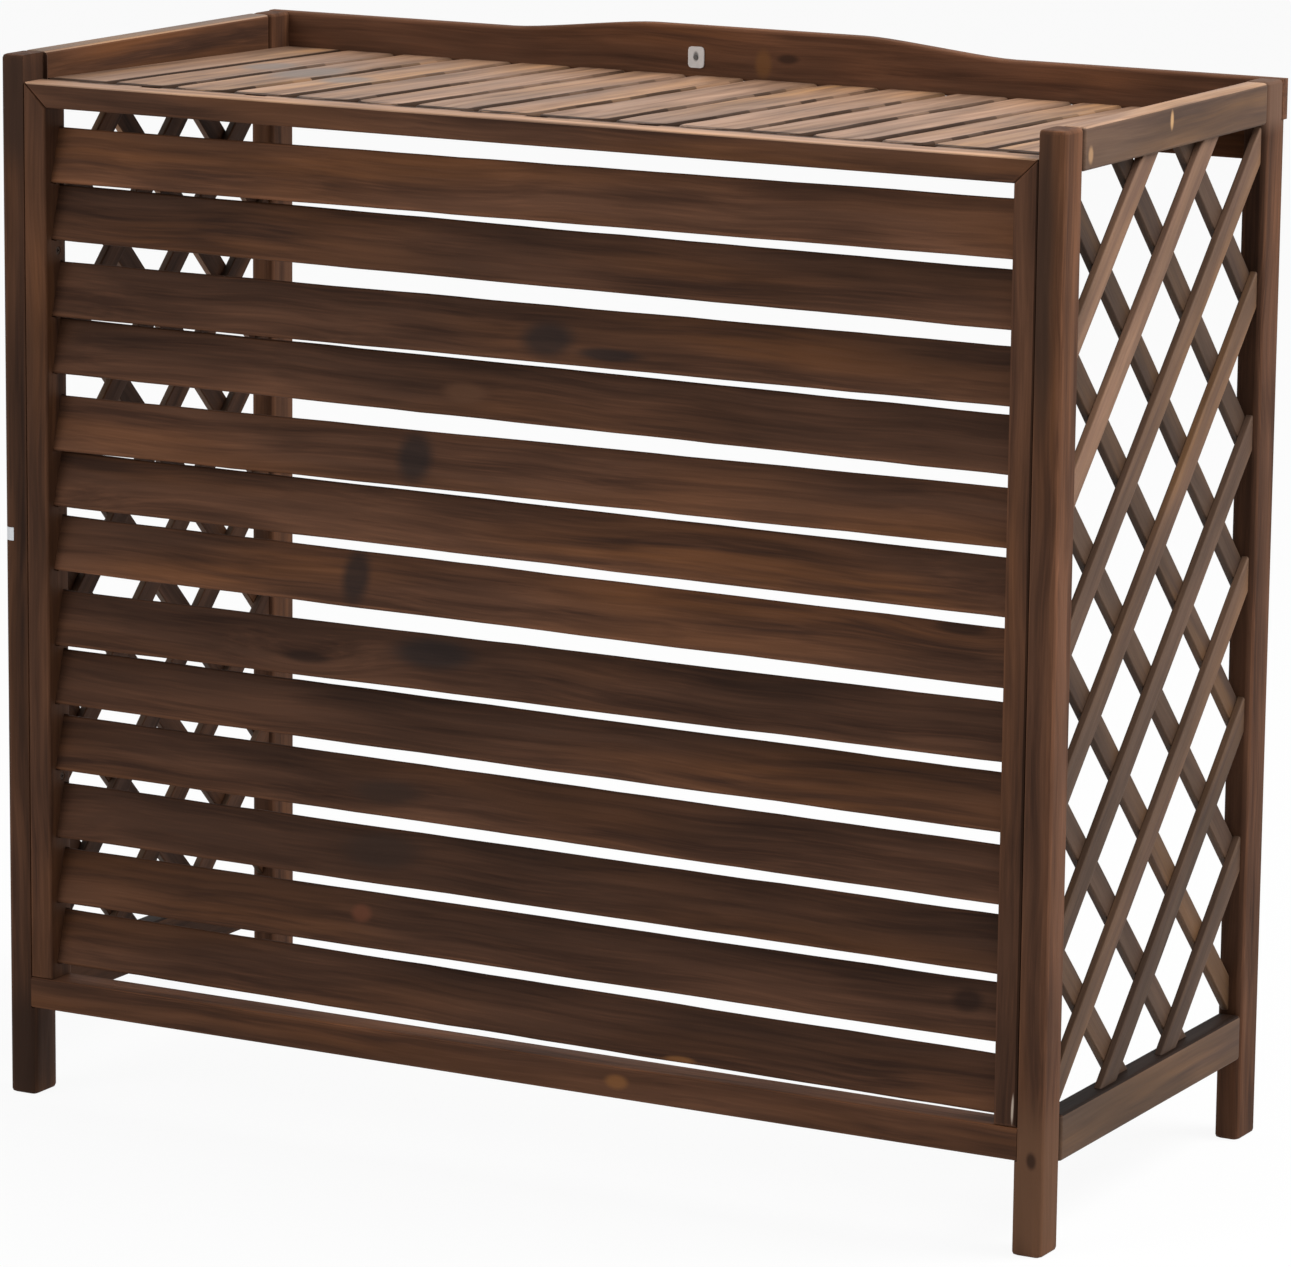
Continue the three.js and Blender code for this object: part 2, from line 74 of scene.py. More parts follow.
def new_material(name):
    """A material that starts from an empty tree of nodes."""
    material = bpy.data.materials.new(name)
    material.use_nodes = True
    material.node_tree.nodes.clear()
    return material


# Fir, planed and brushed with stain: the soft early wood drinks more of it than the hard late wood,
# so long streaks run along each board, some of it redder, knots stay dark, and rubbed arrises show
# paler wood. The fibres are drawn a few times coarser than they are, so that they show.
# Each board carries four attributes. Grain is its own length, width and thickness, in metres, from
# the place in the tree that it was cut at. Tone makes a whole face darker or paler, at random and
# also as painted light or shade on the faces that look one way. The third attribute makes a board
# darker along one edge and paler along the other, as painted shade. Arris is 1 on a rubbed edge, and
# under 0 where dirt is put and where shade is painted in gaps and recesses.
STREAK_LENGTH, STREAK_WIDTH = 0.30, 0.013
FIBRE_LENGTH, FIBRE_WIDTH = 0.08, 0.0024
BLOTCH_LENGTH, BLOTCH_WIDTH = 0.19, 0.034
WARM_LENGTH, WARM_WIDTH = 0.36, 0.06
BEND_LENGTH, GRAIN_BEND = 0.20, 0.020
KNOT_SPACING, KNOT_LANE = 0.36, 0.080
KNOT_RARITY, KNOT_SWELL, KNOT_STRENGTH = 0.97, 0.011, 0.65
KNOT_HEART = "#1d120d"
BLOTCH_DARKEST, BLOTCH_PALEST = 0.72, 1.26
MARK_CORE, MARK_RIM, MARK_STRENGTH = 0.45, 1.15, 0.8
RUBBED_LEAST = 0.14
# The dirt colour also stands for painted shade in gaps and recesses.
DIRT_AND_SHADE, DIRT_AND_SHADE_STRENGTH = "#241812", 0.9
DARK_STREAKS_ROUGHER, PALE_STREAKS_SMOOTHER = 0.09, 0.05
GRAIN_RELIEF = 0.0007
FIR_IOR = 1.5


def stained_fir(name, dark, stain, warm, worn, roughness, gloss_level, marks=()):
    """Marks are spots on single boards: each one's middle and half sizes in the grain, and colour."""
    material = new_material(name)
    tree = material.node_tree
    grain = put(tree, "ShaderNodeAttribute", {}, attribute_name="grain").outputs["Vector"]
    tone, shade_across, arris = (
        put(tree, "ShaderNodeAttribute", {}, attribute_name=carried).outputs["Fac"]
        for carried in ("tone", "shade_across", "arris")
    )

    # Knots are few, each in its own stretch of board: a dark core, and a swelling of the grain.
    lane = put(
        tree, "ShaderNodeMapping",
        {"Vector": grain, "Scale": (1 / KNOT_SPACING, 1 / KNOT_LANE, 1.0)},
    ).outputs["Vector"]
    knots = put(
        tree, "ShaderNodeTexVoronoi", {"Vector": lane, "Scale": 1.0}, voronoi_dimensions="2D",
    )
    chosen = put(
        tree, "ShaderNodeSeparateColor", {"Color": knots.outputs["Color"]},
    ).outputs["Red"]
    kept = put(
        tree, "ShaderNodeMath", {0: chosen, 1: KNOT_RARITY}, operation="GREATER_THAN",
    ).outputs["Value"]
    core, swell = (
        put(
            tree, "ShaderNodeMapRange",
            {"Value": knots.outputs["Distance"], "From Min": nearest, "From Max": farthest,
             "To Min": most, "To Max": 0.0},
            interpolation_type="SMOOTHSTEP",
        ).outputs["Result"]
        for nearest, farthest, most in ((0.035, 0.085, KNOT_STRENGTH), (0.0, 0.32, KNOT_SWELL))
    )
    knot_share, swelling = (
        put(tree, "ShaderNodeMath", {0: part, 1: kept}, operation="MULTIPLY").outputs["Value"]
        for part in (core, swell)
    )

    # The grain bends slowly along the board, and steps aside at a knot.
    bend = put(
        tree, "ShaderNodeTexNoise", {"Vector": grain, "Scale": 1 / BEND_LENGTH, "Detail": 1.0},
    ).outputs["Color"]
    bent = put(
        tree, "ShaderNodeVectorMath",
        {0: bend, 1: (0.0, GRAIN_BEND, GRAIN_BEND), 2: grain}, operation="MULTIPLY_ADD",
    ).outputs["Vector"]
    push = put(tree, "ShaderNodeCombineXYZ", {"Y": swelling, "Z": swelling}).outputs["Vector"]
    bowed = put(tree, "ShaderNodeVectorMath", {0: bent, 1: push}, operation="ADD").outputs["Vector"]

    # Four noises, each drawn out along the grain.
    drawn = []
    for place, length, width, detail, crispness in (
        (bowed, STREAK_LENGTH, STREAK_WIDTH, 3.0, 0.6),
        (bowed, FIBRE_LENGTH, FIBRE_WIDTH, 2.0, 0.6),
        (grain, BLOTCH_LENGTH, BLOTCH_WIDTH, 2.0, 0.5),
        (grain, WARM_LENGTH, WARM_WIDTH, 1.0, 0.5),
    ):
        stretched = put(
            tree, "ShaderNodeMapping",
            {"Vector": place, "Scale": (1 / length, 1 / width, 1 / width)},
        ).outputs["Vector"]
        drawn.append(put(
            tree, "ShaderNodeTexNoise",
            {"Vector": stretched, "Scale": 1.0, "Detail": detail, "Roughness": crispness},
        ).outputs["Fac"])
    streaks, fibres, blotches, warmth = drawn

    # The stain, from its darkest streaks to the bare fibres on rubbed arrises.
    warm_share, streak_share, pale_share = (
        put(
            tree, "ShaderNodeMapRange",
            {"Value": pattern, "From Min": lowest, "From Max": highest, "To Max": most},
        ).outputs["Result"]
        for pattern, lowest, highest, most in (
            (warmth, 0.45, 0.70, 0.9), (streaks, 0.34, 0.60, 1.0), (fibres, 0.46, 0.74, 0.24),
        )
    )
    tinted = put(
        tree, "ShaderNodeMix",
        {"Factor": warm_share, 6: colour(stain), 7: colour(warm)}, data_type="RGBA",
    ).outputs[2]
    body = put(
        tree, "ShaderNodeMix", {"Factor": streak_share, 6: colour(dark), 7: tinted},
        data_type="RGBA",
    ).outputs[2]
    combed = put(
        tree, "ShaderNodeMix", {"Factor": pale_share, 6: body, 7: colour(worn)}, data_type="RGBA",
    ).outputs[2]
    rubbed_share = put(
        tree, "ShaderNodeMath", {0: arris, 1: pale_share}, operation="MULTIPLY",
    ).outputs["Value"]
    rubbed_more = put(
        tree, "ShaderNodeMath", {0: arris, 1: RUBBED_LEAST, 2: rubbed_share},
        operation="MULTIPLY_ADD",
    ).outputs["Value"]
    rubbed = put(
        tree, "ShaderNodeMix", {"Factor": rubbed_more, 6: combed, 7: colour(worn)},
        data_type="RGBA",
    ).outputs[2]

    # How much stain the board took, by patches, faces and edges.
    blotch_level = put(
        tree, "ShaderNodeMapRange",
        {"Value": blotches, "From Min": 0.32, "From Max": 0.68,
         "To Min": BLOTCH_DARKEST, "To Max": BLOTCH_PALEST},
    ).outputs["Result"]
    change = put(tree, "ShaderNodeMath", {0: tone, 1: shade_across}, operation="ADD").outputs["Value"]
    level = put(
        tree, "ShaderNodeMath", {0: change, 1: blotch_level, 2: blotch_level},
        operation="MULTIPLY_ADD",
    ).outputs["Value"]
    toned = put(
        tree, "ShaderNodeVectorMath", {0: rubbed, "Scale": level}, operation="SCALE",
    ).outputs["Vector"]
    face = put(
        tree, "ShaderNodeMix", {"Factor": knot_share, 6: toned, 7: colour(KNOT_HEART)},
        data_type="RGBA",
    ).outputs[2]

    # Marks bend with the grain, whose mean bend is taken off, so that each stays in its place.
    mean_bend = Vector((0, GRAIN_BEND / 2, GRAIN_BEND / 2))
    for middle, halves, tint in marks:
        away = put(
            tree, "ShaderNodeVectorMath", {0: bent, 1: middle + mean_bend}, operation="SUBTRACT",
        ).outputs["Vector"]
        shrunk = put(
            tree, "ShaderNodeVectorMath", {0: away, 1: halves}, operation="DIVIDE",
        ).outputs["Vector"]
        reach = put(
            tree, "ShaderNodeVectorMath", {0: shrunk}, operation="LENGTH",
        ).outputs["Value"]
        share = put(
            tree, "ShaderNodeMapRange",
            {"Value": reach, "From Min": MARK_CORE, "From Max": MARK_RIM,
             "To Min": MARK_STRENGTH, "To Max": 0.0},
            interpolation_type="SMOOTHSTEP",
        ).outputs["Result"]
        face = put(
            tree, "ShaderNodeMix", {"Factor": share, 6: face, 7: colour(tint)}, data_type="RGBA",
        ).outputs[2]

    # Dirt, and shade painted in gaps and recesses in the same dark colour, lie over all of it, and
    # take the shine away.
    dirt_and_shade_share = put(
        tree, "ShaderNodeMath", {0: arris, 1: -DIRT_AND_SHADE_STRENGTH}, operation="MULTIPLY",
        use_clamp=True,
    ).outputs["Value"]
    face = put(
        tree, "ShaderNodeMix", {"Factor": dirt_and_shade_share, 6: face, 7: colour(DIRT_AND_SHADE)}, data_type="RGBA",
    ).outputs[2]
    shine = put(
        tree, "ShaderNodeMapRange", {"Value": dirt_and_shade_share, "To Min": gloss_level, "To Max": 0.0},
    ).outputs["Result"]
    gloss = put(
        tree, "ShaderNodeMapRange",
        {"Value": streaks, "From Min": 0.3, "From Max": 0.7,
         "To Min": roughness + DARK_STREAKS_ROUGHER, "To Max": roughness - PALE_STREAKS_SMOOTHER},
    ).outputs["Result"]
    relief = put(
        tree, "ShaderNodeMath", {0: fibres, 1: 0.5, 2: streaks}, operation="MULTIPLY_ADD",
    ).outputs["Value"]
    raised = put(
        tree, "ShaderNodeBump", {"Height": relief, "Strength": 0.5, "Distance": GRAIN_RELIEF},
    ).outputs["Normal"]
    shader = put(
        tree, "ShaderNodeBsdfPrincipled",
        {"Base Color": face, "Roughness": gloss, "Normal": raised, "IOR": FIR_IOR,
         "Specular IOR Level": shine},
    ).outputs["BSDF"]
    put(tree, "ShaderNodeOutputMaterial", {"Surface": shader})
    return material


# The logs that the boards are cut from are taken to lie within a cube of this size, in metres.
TREE_SPAN = 20


def log_place(seed):
    """Where in the tree a board was cut from, which sets its grain apart from the others'."""
    chance = random.Random(seed)
    return Vector([chance.uniform(0, TREE_SPAN) for _ in range(3)])


def marked(made, along, middle, seed, tone):
    """Gives a board its grain and tone. Along is the axis that its length is on."""
    order = {"x": (0, 1, 2), "y": (1, 0, 2), "z": (2, 0, 1)}[along]
    grain = made.verts.layers.float_vector.new("grain")
    tones = made.faces.layers.float.new("tone")
    for vert in made.verts:
        away = vert.co - middle
        vert[grain] = Vector([away[axis] for axis in order]) + log_place(seed)
    for face in made.faces:
        face[tones] = tone
    return made


# A face looks one way if its normal has at least this much of that way in it.
FACING = 0.7


def shaded(made, way, change):
    """Paints light or shade on the faces that look one way, making them paler or darker than the rest
    of the piece.
    """
    tones = made.faces.layers.float["tone"]
    made.normal_update()
    for face in made.faces:
        if face.normal.dot(Vector(way)) > FACING:
            face[tones] += change


SHARP_ANGLE = math.radians(50)


def placed(made, name, material, slot, *nodes):
    """Makes the piece an object that stands for its solids, with soft shading over its arrises."""
    mesh = bpy.data.meshes.new(name)
    for face in made.faces:
        face.smooth = True
    for edge in made.edges:
        edge.smooth = not edge.is_manifold or edge.calc_face_angle() < SHARP_ANGLE
    made.to_mesh(mesh)
    made.free()
    mesh.materials.append(material)
    piece = bpy.data.objects.new(name, mesh)
    bpy.context.collection.objects.link(piece)
    shading = piece.modifiers.new("Flat_faces_first", "WEIGHTED_NORMAL")
    shading.keep_sharp = True
    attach(piece, "root")
    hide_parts(*nodes)
    return piece


WELD_DISTANCE = 1e-5
SAME_FACE_ANGLE = math.radians(0.5)
SQUARE_FACE = 0.995


def worked_from(node, along, seed, tone=0.0):
    """A welded copy of a solid's mesh, with its rounded arrises marked."""
    made = bmesh.new()
    made.from_mesh(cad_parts[node].data)
    bmesh.ops.remove_doubles(made, verts=made.verts, dist=WELD_DISTANCE)
    bmesh.ops.dissolve_limit(
        made, angle_limit=SAME_FACE_ANGLE, verts=made.verts, edges=made.edges,
    )
    arris = made.faces.layers.float.new("arris")
    for face in made.faces:
        face[arris] = 1.0 if max(abs(part) for part in face.normal) < SQUARE_FACE else 0.0
    low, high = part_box(node)
    return marked(made, along, (Vector(low) + Vector(high)) / 2, seed, tone)


THROUGH = 1.0


def marks_on(rows, upright=False):
    """The marks of a table, for stained_fir. Each row gives the board's seed, the mark's middle along
    the grain and across it, half its size both ways, all in millimetres, and its colour. A mark goes
    through the whole board, front to back where it is on an upright face, and across is then up."""
    marks = []
    for seed, along, across, half_length, half_width, tint in rows:
        middle = (along / 1000, across / 1000, 0.0)
        halves = (half_length / 1000, half_width / 1000, THROUGH)
        if upright:
            middle, halves = ((size[0], size[2], size[1]) for size in (middle, halves))
        marks.append((log_place(seed) + Vector(middle), Vector(halves), tint))
    return marks


# Stains, knots and rubbed spots on single pieces of dark timber. Each piece is known by its seed.
FRONT_POST_SEEDS = {"left": 11, "right": 12}
REAR_POST_SEEDS = {"left": 51, "right": 52}
STILE_SEEDS = {"left": 21, "right": 22}
LOUVRE_RAIL_SEED = 24
BACK_BOARD_SEED = 137
FIRST_SLAT_SEED = 31
BLUE_STAIN = "#241d1b"
BROWN_STAIN = "#33241c"
KNOT = "#24150e"
GOLDEN_WOOD = "#7d5330"
FRONT_MARKS = (
    (FIRST_SLAT_SEED + 2, 28, -4, 28, 17, BLUE_STAIN),
    (FIRST_SLAT_SEED + 2, 84, -12, 34, 6, BLUE_STAIN),
    (FIRST_SLAT_SEED + 4, -94, -3, 19, 26, BLUE_STAIN),
    (FIRST_SLAT_SEED + 6, -149, 1, 15, 28, BLUE_STAIN),
    (FIRST_SLAT_SEED + 7, -78, 4, 44, 16, BLUE_STAIN),
    (FIRST_SLAT_SEED + 9, -118, -4, 38, 12, BROWN_STAIN),
    (FIRST_SLAT_SEED + 10, -125, 4, 42, 18, BROWN_STAIN),
    (STILE_SEEDS["right"], -363, 9, 13, 1.2, "#b9a898"),
    (FIRST_SLAT_SEED + 3, -47, -6, 24, 9, "#593c2a"),
    (FIRST_SLAT_SEED + 11, -144, 3, 11, 8, "#633b29"),
    (FIRST_SLAT_SEED + 11, 405, 5, 16, 11, KNOT),
    (FIRST_SLAT_SEED + 12, 156, -20, 16, 4, GOLDEN_WOOD),
    (FRONT_POST_SEEDS["right"], -385, 0, 75, 34, "#624532"),
    (FRONT_POST_SEEDS["right"], -362, 1, 8, 5, KNOT),
    (FRONT_POST_SEEDS["right"], 330, -4, 140, 12, "#37261c"),
    (FRONT_POST_SEEDS["left"], 400, 0, 60, 34, "#34231a"),
    (FRONT_POST_SEEDS["left"], -400, 0, 60, 34, "#2b1c14"),
    (REAR_POST_SEEDS["right"], 424, 0, 26, 60, "#6a5041"),
)
UPRIGHT_FRONT_MARKS = (
    (LOUVRE_RAIL_SEED, 104, 0, 12, 7, GOLDEN_WOOD),
    (BACK_BOARD_SEED, 9, -5, 9, 15, "#77502f"),
    (BACK_BOARD_SEED, 32, 0, 12, 5, "#35231a"),
)
FRONT_ROUGHNESS, FRONT_GLOSS = 0.66, 0.1
FRONT_POST_TONE = 0.4
FRONT_POST_FRONT_SHADE = {"left": -0.72, "right": -0.38}

front_fir = stained_fir(
    "Dark_stained_planed_fir", FRONT_DARK, FRONT_STAIN, FRONT_WARM, FRONT_WORN,
    FRONT_ROUGHNESS, FRONT_GLOSS,
    marks_on(FRONT_MARKS) + marks_on(UPRIGHT_FRONT_MARKS, upright=True),
)
for side, seed in FRONT_POST_SEEDS.items():
    post = worked_from(f"Front_{side}_post", "z", seed, FRONT_POST_TONE)
    # The front faces are painted darker than the rest of the post, as shade on the side away from the
    # main lamp.
    shaded(post, (0, -1, 0), FRONT_POST_FRONT_SHADE[side])
    placed(post, f"front_{side}_post", front_fir, "front_timber", f"Front_{side}_post")

# Louvre frame. Two stiles and a top rail, mitred at the top corners, and a bottom rail under the
# stiles. The right mitre is drawn up tight, and the right stile's faces towards its post are painted
# dark in the dirt colour, as the shade in the gap between them. The top rail's upper face lies open
# to sun and rain, and has bleached as the deck has, and it is painted paler still, as light from
# above, but for a strip along its back that is painted dark, as the shadow before the deck boards.
# The bottom rail's upper face is painted paler, as light from above.

MITRE_OPENING = 0.0007
STILE_TONES = {"left": -0.12, "right": 0.0}
STILE_GAP_SHADE, STILE_SIDE_FROM = -0.8, 0.2
TOP_RAIL_SEED = 26
TOP_RAIL_TONE = -0.06
TOP_RAIL_TOP_LIGHT = 0.4
TOP_RAIL_CUTS, TOP_RAIL_CUT_STEP = 21, 0.02
TOP_FACE_DEPTH = 0.001
SHADED_EDGE, SHADE_PATCH = 0.008, 0.03
SHADE_MEAN, SHADE_LEAST = 0.8, 0.3
UPWARD_FROM = 0.35
BOTTOM_RAIL_TONE = 0.02
BOTTOM_RAIL_TOP_LIGHT = 0.7

# Weathered fir, for the top rail's upper face and the deck: the stain has bleached to a pale tan, its
# colours are paler still as painted light from above, and it is greyest where water stood on three of
# the deck's boards.
DECK_DARK = "#72543f"
DECK_STAIN = "#9a775f"
DECK_WARM = "#b18255"
DECK_WORN = "#bd9779"
DECK_ROUGHNESS, DECK_GLOSS = 0.55, 0.35
GREY_WEATHERING = "#776b63"
FIRST_DECK_SEED = 101
DECK_MARKS = (
    (FIRST_DECK_SEED + 1, 20, 0, 40, 25, GREY_WEATHERING),
    (FIRST_DECK_SEED + 2, -5, 0, 60, 34, GREY_WEATHERING),
    (FIRST_DECK_SEED + 3, -40, 0, 35, 25, GREY_WEATHERING),
)


def cut(made, spot, way, drop=False):
    """Cuts a mesh along a plane, and drops what lies beyond it if told to."""
    bmesh.ops.bisect_plane(
        made, geom=made.verts[:] + made.edges[:] + made.faces[:],
        plane_co=spot, plane_no=way, clear_outer=drop,
    )


deck_fir = stained_fir(
    "Weathered_stained_fir_with_painted_top_light", DECK_DARK, DECK_STAIN, DECK_WARM, DECK_WORN,
    DECK_ROUGHNESS, DECK_GLOSS, marks_on(DECK_MARKS),
)
for side, seed in STILE_SEEDS.items():
    stile = worked_from(f"Louvre_{side}_stile", "z", seed, STILE_TONES[side])
    arrises = stile.faces.layers.float["arris"]
    # The right stile's faces towards its post are painted dark in the dirt colour, as the shade in
    # the gap between them.
    for face in stile.faces:
        if side == "right" and face.normal.x > STILE_SIDE_FROM:
            face[arrises] = STILE_GAP_SHADE
    placed(stile, f"louvre_{side}_stile", front_fir, "front_timber", f"Louvre_{side}_stile")

top_rail = worked_from("Louvre_top_rail", "x", TOP_RAIL_SEED, TOP_RAIL_TONE)
bmesh.ops.translate(
    top_rail, vec=(MITRE_OPENING, 0, 0), verts=[vert for vert in top_rail.verts if vert.co.x > 0],
)
for step in range(-TOP_RAIL_CUTS, TOP_RAIL_CUTS + 1):
    cut(top_rail, (step * TOP_RAIL_CUT_STEP, 0, 0), (1, 0, 0))
rail_high = Vector(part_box("Louvre_top_rail")[1])
# A strip along the back of the upper face is painted dark in wavy patches, as the shadow in the gap
# before the deck boards' ends.
cut(top_rail, rail_high - Vector((0, SHADED_EDGE, 0)), (0, 1, 0))
arrises = top_rail.faces.layers.float["arris"]
for face in top_rail.faces:
    spot = face.calc_center_median()
    if spot.z > rail_high.z - TOP_FACE_DEPTH and spot.y > rail_high.y - SHADED_EDGE:
        patches = noise.noise(Vector((spot.x / SHADE_PATCH, 0, 0)))
        face[arrises] = -max(SHADE_MEAN + patches, SHADE_LEAST)
# The upper face is painted paler, as light from above.
shaded(top_rail, (0, 0, 1), TOP_RAIL_TOP_LIGHT)
for face in top_rail.faces:
    face.material_index = 1 if face.normal.z > UPWARD_FROM else 0
top_rail_piece = placed(
    top_rail, "louvre_top_rail", front_fir, "front_timber", "Louvre_top_rail",
)
top_rail_piece.data.materials.append(deck_fir)

bottom_rail = worked_from("Louvre_bottom_rail", "x", LOUVRE_RAIL_SEED, BOTTOM_RAIL_TONE)
# Its upper face is painted paler, as light from above.
shaded(bottom_rail, (0, 0, 1), BOTTOM_RAIL_TOP_LIGHT)
placed(bottom_rail, "louvre_bottom_rail", front_fir, "front_timber", "Louvre_bottom_rail")

# Louvre slats. Thirteen thin planed boards, let into the stiles at a slant with the lower edge
# forward, each a little off level. Their arrises are rounded with a few strokes of a plane. Each is
# painted darker towards its upper edge and paler towards its lower one, as the shade of the slat
# above.

SLAT_WIDTH = 0.0467
SLAT_THICKNESS = 0.007
SLAT_ARRIS = 0.0024
SLAT_TILT = math.radians(16.5)
SLAT_SHADE_ACROSS = 0.22
SLAT_WAVER = 0.0006
SLAT_END_GAPS = 0.0002
SLAT_TONES = (
    0.18, -0.15, -0.18, -0.14, 0.08, 0.04, 0.05, -0.24, -0.24, -0.18, -0.28, -0.24, -0.18,
)
CORNER_STEPS, ARRIS_STEPS = 5, 3
BEVELLED_FROM = math.radians(45)
BOARD_CUT_STEP = 0.03
WAVER_LENGTH = 0.055
NOISE_PER_EDGE, NOISE_PER_SEED = 3.7, 1.7


def board(size, arris, place, seed, tone=0.0, waver=0.0, corners=(0.0, 0.0), shade_across=0.0):
    """One planed length of timber along its own x, moved by place to where it is fixed. Its edges
    wander by the waver, and the corners of its two ends, seen from above, are rounded. It is painted
    darker by the shade across along one edge, and paler by as much along the other, as painted shade."""
    length, width, thickness = size
    made = bmesh.new()
    marks = made.faces.layers.float.new("arris")
    bmesh.ops.create_cube(made, size=1.0)
    bmesh.ops.scale(made, vec=size, verts=made.verts)
    for end, corner in zip((-1, 1), corners):
        if corner:
            upright = [
                edge for edge in made.edges
                if abs(edge.verts[0].co.z - edge.verts[1].co.z) > thickness / 2
                and abs(edge.verts[0].co.x - end * length / 2) < WELD_DISTANCE
            ]
            bmesh.ops.bevel(
                made, geom=upright, offset=corner, offset_type="OFFSET", affect="EDGES",
                segments=CORNER_STEPS, profile=0.5, material=-1,
            )
    sharp = [edge for edge in made.edges if edge.calc_face_angle() > BEVELLED_FROM]
    rounded = bmesh.ops.bevel(
        made, geom=sharp, offset=arris, offset_type="OFFSET", affect="EDGES",
        segments=ARRIS_STEPS, profile=0.5, material=-1,
    )["faces"]
    for face in rounded:
        face[marks] = 1.0
    cuts = round(length / BOARD_CUT_STEP)
    for step in range(1, cuts):
        cut(made, (length * (step / cuts - 0.5), 0, 0), (1, 0, 0))
    marked(made, "x", Vector(), seed, tone)
    shades_across = made.verts.layers.float.new("shade_across")
    for vert in made.verts:
        vert[shades_across] = -shade_across * vert.co.y / (width / 2)
        edge = math.copysign(1.0, vert.co.y)
        drift = noise.noise(
            Vector((vert.co.x / WAVER_LENGTH, NOISE_PER_EDGE * edge, seed * NOISE_PER_SEED)),
        )
        vert.co.y -= edge * waver * (0.5 + drift)
    bmesh.ops.transform(made, matrix=place, verts=made.verts)
    return made


def slat_place(node):
    """Where a slat lies: its middle, its run from end to end, and its slant."""
    spots = [vert.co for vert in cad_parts[node].data.vertices]
    left = [spot for spot in spots if spot.x < 0]
    right = [spot for spot in spots if spot.x > 0]
    left_end = sum(left, Vector()) / len(left)
    right_end = sum(right, Vector()) / len(right)
    fall = math.atan2(left_end.z - right_end.z, right_end.x - left_end.x)
    low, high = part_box(node)
    middle = (Vector(low) + Vector(high)) / 2
    turn = Matrix.Rotation(fall, 4, "Y") @ Matrix.Rotation(math.radians(90) - SLAT_TILT, 4, "X")
    return Matrix.Translation(middle) @ turn, high[0] - low[0]


for order, tone in enumerate(SLAT_TONES, start=1):
    node = f"Louvre_slat_{order:02d}"
    place, length = slat_place(node)
    size = (length - SLAT_END_GAPS, SLAT_WIDTH, SLAT_THICKNESS)
    slat = board(
        size, SLAT_ARRIS, place, FIRST_SLAT_SEED + order - 1, tone, SLAT_WAVER, shade_across=SLAT_SHADE_ACROSS,
    )
    placed(slat, f"slat_{order:02d}", front_fir, "front_timber", node)

# Rear posts. Narrower in front than the front ones and cut away behind the top to let in the back
# board. The same dark stain as in front.

REAR_POST_TONE = 0.05
REAR_POST_FRONT_SHADE = -0.3

for side, seed in REAR_POST_SEEDS.items():
    post = worked_from(f"Rear_{side}_post", "z", seed, REAR_POST_TONE)
    # The front faces are painted darker than the rest of the post, as shade.
    shaded(post, (0, -1, 0), REAR_POST_FRONT_SHADE)
    placed(post, f"rear_{side}_post", front_fir, "front_timber", f"Rear_{side}_post")

# Side rails. A top and a bottom rail on each side, tenoned into the posts, level with their outer
# faces. Planed on all four sides, with rounded arrises, and weathered to a greyer brown outside,
# which is made paler than the front partly as painted light. The top rails' upper faces have
# bleached, and are paler still as painted light from above. The bottom rails' upper faces and all
# inward faces take the front's dark stain, as painted shade, the bottom rails' upper faces darkest,
# as the shade under the lattice and the deck.

TENON_LENGTH = 0.010
SIDE_RAIL_ARRIS = 0.003
SIDE_DARK = "#5b4437"
SIDE_STAIN = "#694f3d"
SIDE_WARM = "#7a5738"
SIDE_WORN = "#80634e"
SIDE_ROUGHNESS, SIDE_GLOSS = 0.62, 0.2
RIGHT_TOP_RAIL_SEED = 63
# Each rail's seed, its tone, and the painted light or shade added to that on its upper and on its
# inward face.
SIDE_RAILS = (
    ("Left", "top", 61, -0.35, -0.2, 0.4),
    ("Left", "bottom", 62, -0.42, -0.45, 0.0),
    ("Right", "top", RIGHT_TOP_RAIL_SEED, -0.32, 0.3, 0.0),
    ("Right", "bottom", 64, -0.42, -0.45, 0.0),
)
PALE_SCARS = (
    (RIGHT_TOP_RAIL_SEED, -14, 7, 3.5, 9, "#c39a6d"),
    (RIGHT_TOP_RAIL_SEED, -165, -7, 5, 8, "#a98460"),
)

side_fir = stained_fir(
    "Brown_stained_planed_fir", SIDE_DARK, SIDE_STAIN, SIDE_WARM, SIDE_WORN,
    SIDE_ROUGHNESS, SIDE_GLOSS, marks_on(PALE_SCARS, upright=True),
)
for side, level, seed, tone, top_light_change, inside_light_change in SIDE_RAILS:
    node = f"{side}_{level}_rail"
    low, high = (Vector(corner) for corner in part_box(node))
    size = (high.y - low.y - 2 * TENON_LENGTH, high.x - low.x, high.z - low.z)
    place = Matrix.Translation((low + high) / 2) @ Matrix.Rotation(math.radians(90), 4, "Z")
    rail = board(size, SIDE_RAIL_ARRIS, place, seed, tone)
    # The upper and inward faces are painted paler or darker than the rest, as light and shade.
    shaded(rail, (0, 0, 1), top_light_change)
    shaded(rail, (1 if side == "Left" else -1, 0, 0), inside_light_change)
    for face in rail.faces:
        inward = -face.normal.x if side == "Right" else face.normal.x
        face.material_index = 1 if face.normal.z > UPWARD_FROM else 2 if inward > FACING else 0
    piece = placed(rail, f"{side.lower()}_side_{level}_rail", side_fir, "side_timber", node)
    piece.data.materials.append(deck_fir if level == "top" else front_fir)
    piece.data.materials.append(front_fir)

# Side lattices. Two layers of thin strips at right angles, pinned where they cross and cut off square
# with the frame's opening. Outside, the outer layer is painted paler than the inner one, and paler
# towards the top, as light from above, and the inner layer behind it is painted darker, most near the
# top, as its shade. The faces that look inside take the front's dark stain and a darker tone, as the
# shade within.

